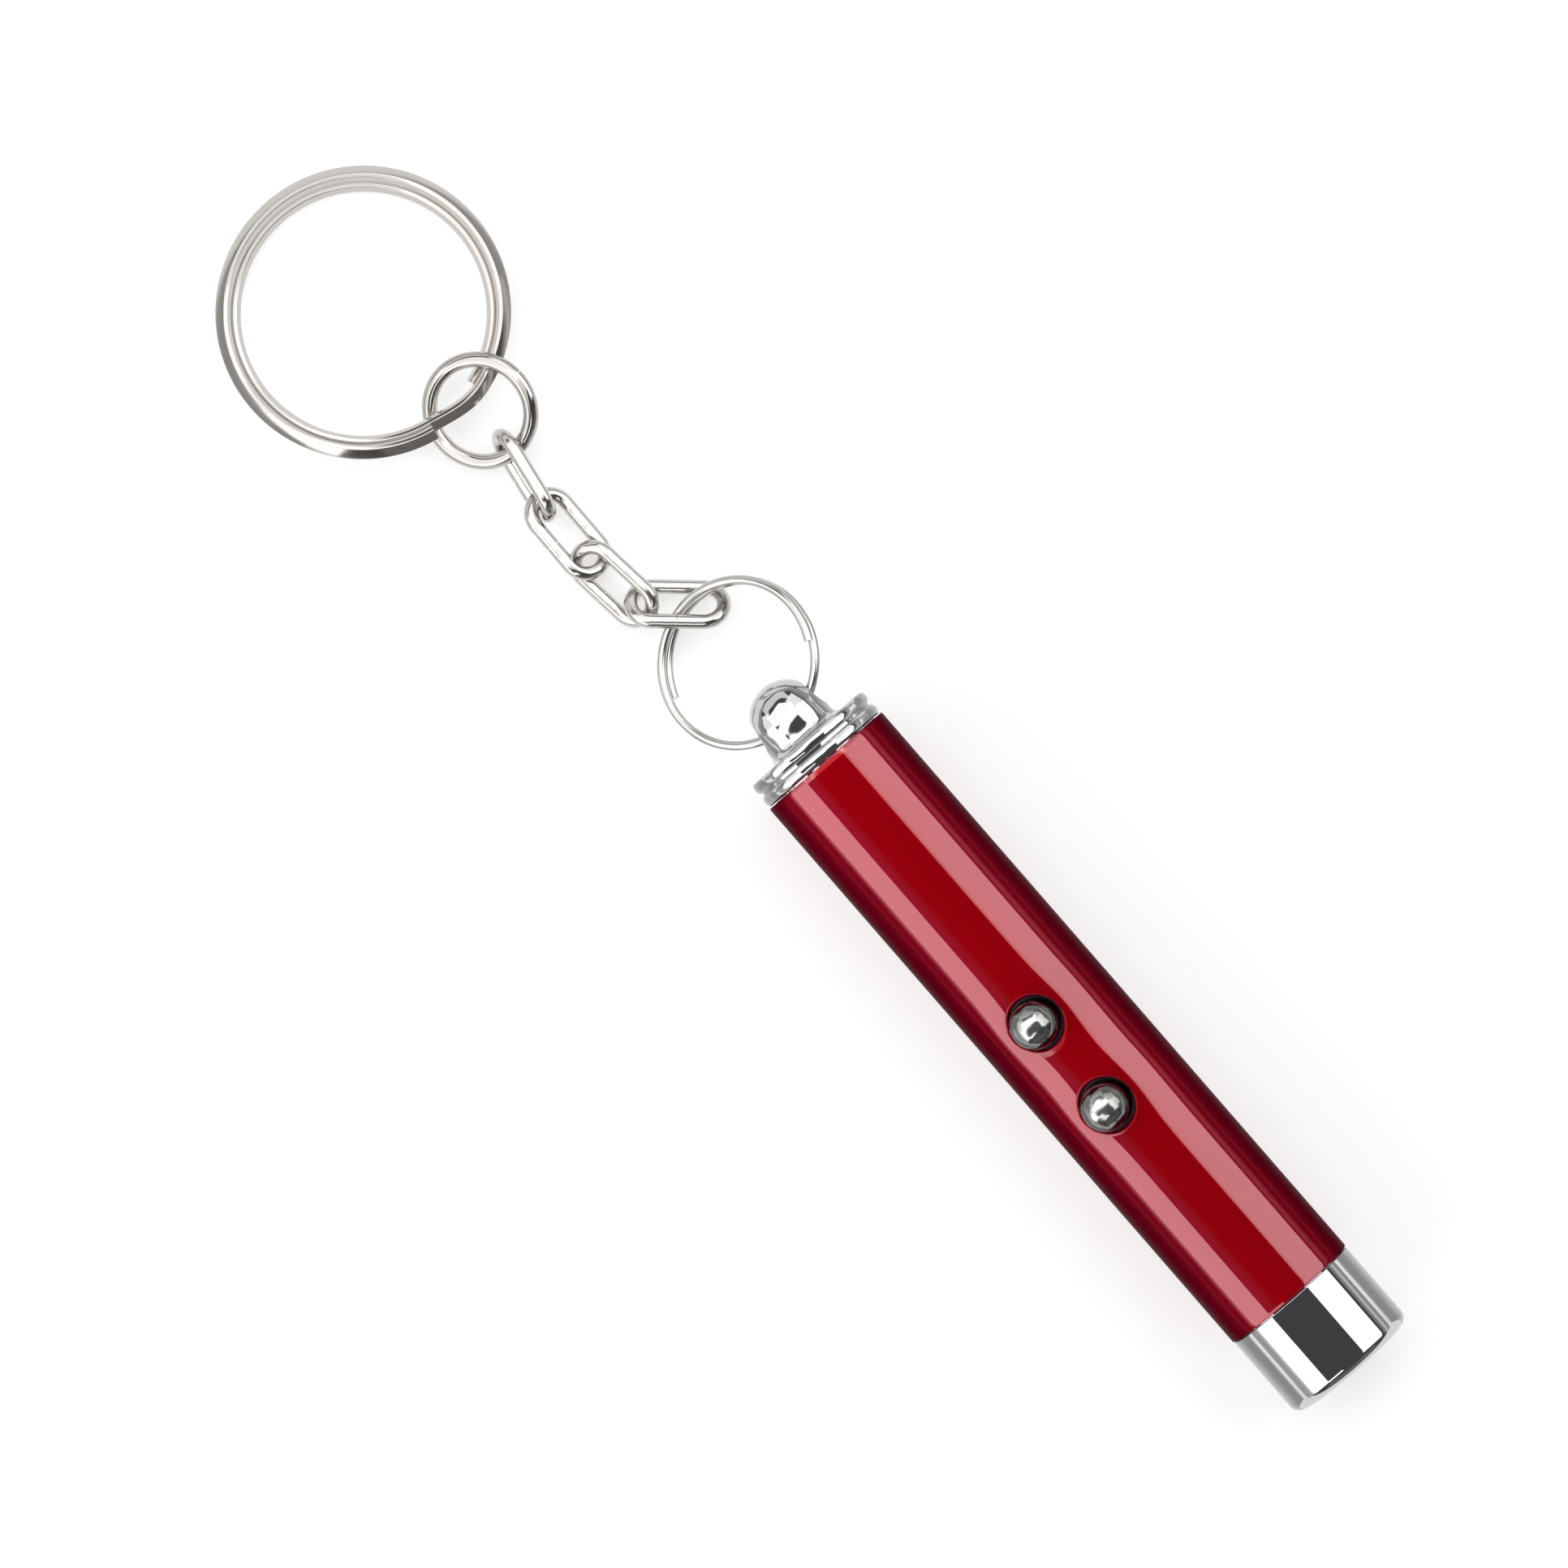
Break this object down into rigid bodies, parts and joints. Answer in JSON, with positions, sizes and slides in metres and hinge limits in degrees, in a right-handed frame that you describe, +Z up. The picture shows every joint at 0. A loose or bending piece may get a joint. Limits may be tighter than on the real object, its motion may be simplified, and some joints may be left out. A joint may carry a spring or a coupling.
{
  "type": "cat laser pointer",
  "caption": "Pen-size cat laser pointer: lacquered barrel with domed push buttons, chromed nose for laser and light, screwed tail cap with an eye, oval-link chain and split key ring.",
  "frame": {"origin": "middle of the nose's front face, on the barrel's axis", "axes": "+X along the beam, out of the nose; +Z up from the surface that the pointer and its chain lie on; +Y completes the frame"},
  "size_m": [0.1506, 0.0282, 0.0171],
  "materials": {
    "red_lacquer": "deep red transparent lacquer over polished metal, high gloss",
    "bright_chrome": "mirror-bright chrome plating",
    "button_chrome": "mirror-bright chrome plating",
    "ring_nickel": "bright nickel plating with drawing marks",
    "chain_nickel": "bright nickel plating",
    "black_plastic": "moulded, fine texture",
    "clear_lamp": "clear moulded lens",
    "lens_glass": "coated",
    "brass_barrel": "turned",
    "diode_can": "satin",
    "green_board": "solder mask",
    "chip_ceramic": "matt",
    "switch_plastic": "matt",
    "plunger_plastic": "matt",
    "contact_nickel": "satin",
    "cell_steel": "satin",
    "sleeve_film": "smooth film",
    "spring_steel": "satin"
  },
  "bodies": {
    "pointer": {"barrel": "red_lacquer", "nose_shell": "bright_chrome", "lamp_holder": "black_plastic", "led_lamp": "clear_lamp", "laser_housing": "brass_barrel", "laser_lens": "lens_glass", "laser_diode": "diode_can", "laser_board": "green_board", "circuit_board": "green_board", "limiting_resistors": "chip_ceramic", "laser_switch": "switch_plastic", "light_switch": "switch_plastic", "carrier_top": "black_plastic", "carrier_bottom": "black_plastic", "front_contact": "contact_nickel", "battery_cell_1": "cell_steel", "battery_cell_2": "cell_steel", "battery_cell_3": "cell_steel", "battery_sleeve": "sleeve_film"},
    "laser_button": {"laser_button": "button_chrome", "laser_plunger": "plunger_plastic"},
    "light_button": {"light_button": "button_chrome", "light_plunger": "plunger_plastic"},
    "cap_carriage": {"tail_spring": "spring_steel"},
    "tail_cap": {"tail_cap": "bright_chrome"},
    "small_ring": {"small_split_ring": "ring_nickel"},
    "link_4": {"chain_link_4": "chain_nickel"},
    "link_3": {"chain_link_3": "chain_nickel"},
    "link_2": {"chain_link_2": "chain_nickel"},
    "link_1": {"chain_link_1": "chain_nickel"},
    "jump_ring": {"jump_ring": "ring_nickel"},
    "key_ring": {"key_ring": "ring_nickel"}
  },
  "joints": [
    {"name": "laser_press", "type": "slide", "parent": "pointer", "child": "laser_button", "axis": [0, 0.2079, -0.9781], "range_m": [0, 0.0004], "stiffness_N_per_m": 3000},
    {"name": "light_press", "type": "slide", "parent": "pointer", "child": "light_button", "axis": [0, 0.2079, -0.9781], "range_m": [0, 0.0004], "stiffness_N_per_m": 3000},
    {"name": "cap_travel", "type": "slide", "parent": "pointer", "child": "cap_carriage", "axis": [-1, 0, 0], "range_m": [0, 0.0023]},
    {"name": "cap_turn", "type": "hinge", "parent": "cap_carriage", "child": "tail_cap", "pos_m": [-0.077, 0, 0], "axis": [-1, 0, 0], "range_deg": [0, 1080]},
    {"name": "eye_swing", "type": "hinge", "parent": "tail_cap", "child": "small_ring", "pos_m": [-0.0815, 0, 0], "axis": [0, 1, 0], "range_deg": [-40, 80]},
    {"name": "link_4_swing", "type": "hinge", "parent": "small_ring", "child": "link_4", "pos_m": [-0.09445, 0.00267, -0.00407], "axis": [0.2879, 0.8887, 0.3569], "range_deg": [-60, 5]},
    {"name": "link_3_swing", "type": "hinge", "parent": "link_4", "child": "link_3", "pos_m": [-0.09957, -0.00278, -0.00556], "axis": [0.1, 0.9291, -0.356], "range_deg": [0, 60]},
    {"name": "link_2_swing", "type": "hinge", "parent": "link_3", "child": "link_2", "pos_m": [-0.10405, -0.00319, -0.00553], "axis": [0.6386, -0.7176, 0.2778], "range_deg": [-60, 0]},
    {"name": "link_1_swing", "type": "hinge", "parent": "link_2", "child": "link_1", "pos_m": [-0.1124, -0.00426, -0.00483], "axis": [-0.002, 0.9238, -0.3829], "range_deg": [-60, 60]},
    {"name": "jump_ring_swing", "type": "hinge", "parent": "link_1", "child": "jump_ring", "pos_m": [-0.11726, -0.00211, -0.00379], "axis": [-0.154, 0.9112, 0.3821], "range_deg": [-5, 60]},
    {"name": "key_ring_swing", "type": "hinge", "parent": "jump_ring", "child": "key_ring", "pos_m": [-0.12533, 0.00065, -0.0023], "axis": [-0.7779, -0.5919, -0.211], "range_deg": [0, 60]}
  ],
  "couplings": [
    {"joint": "cap_travel", "follows": "cap_turn", "m_per_rad": 0.00011937}
  ]
}
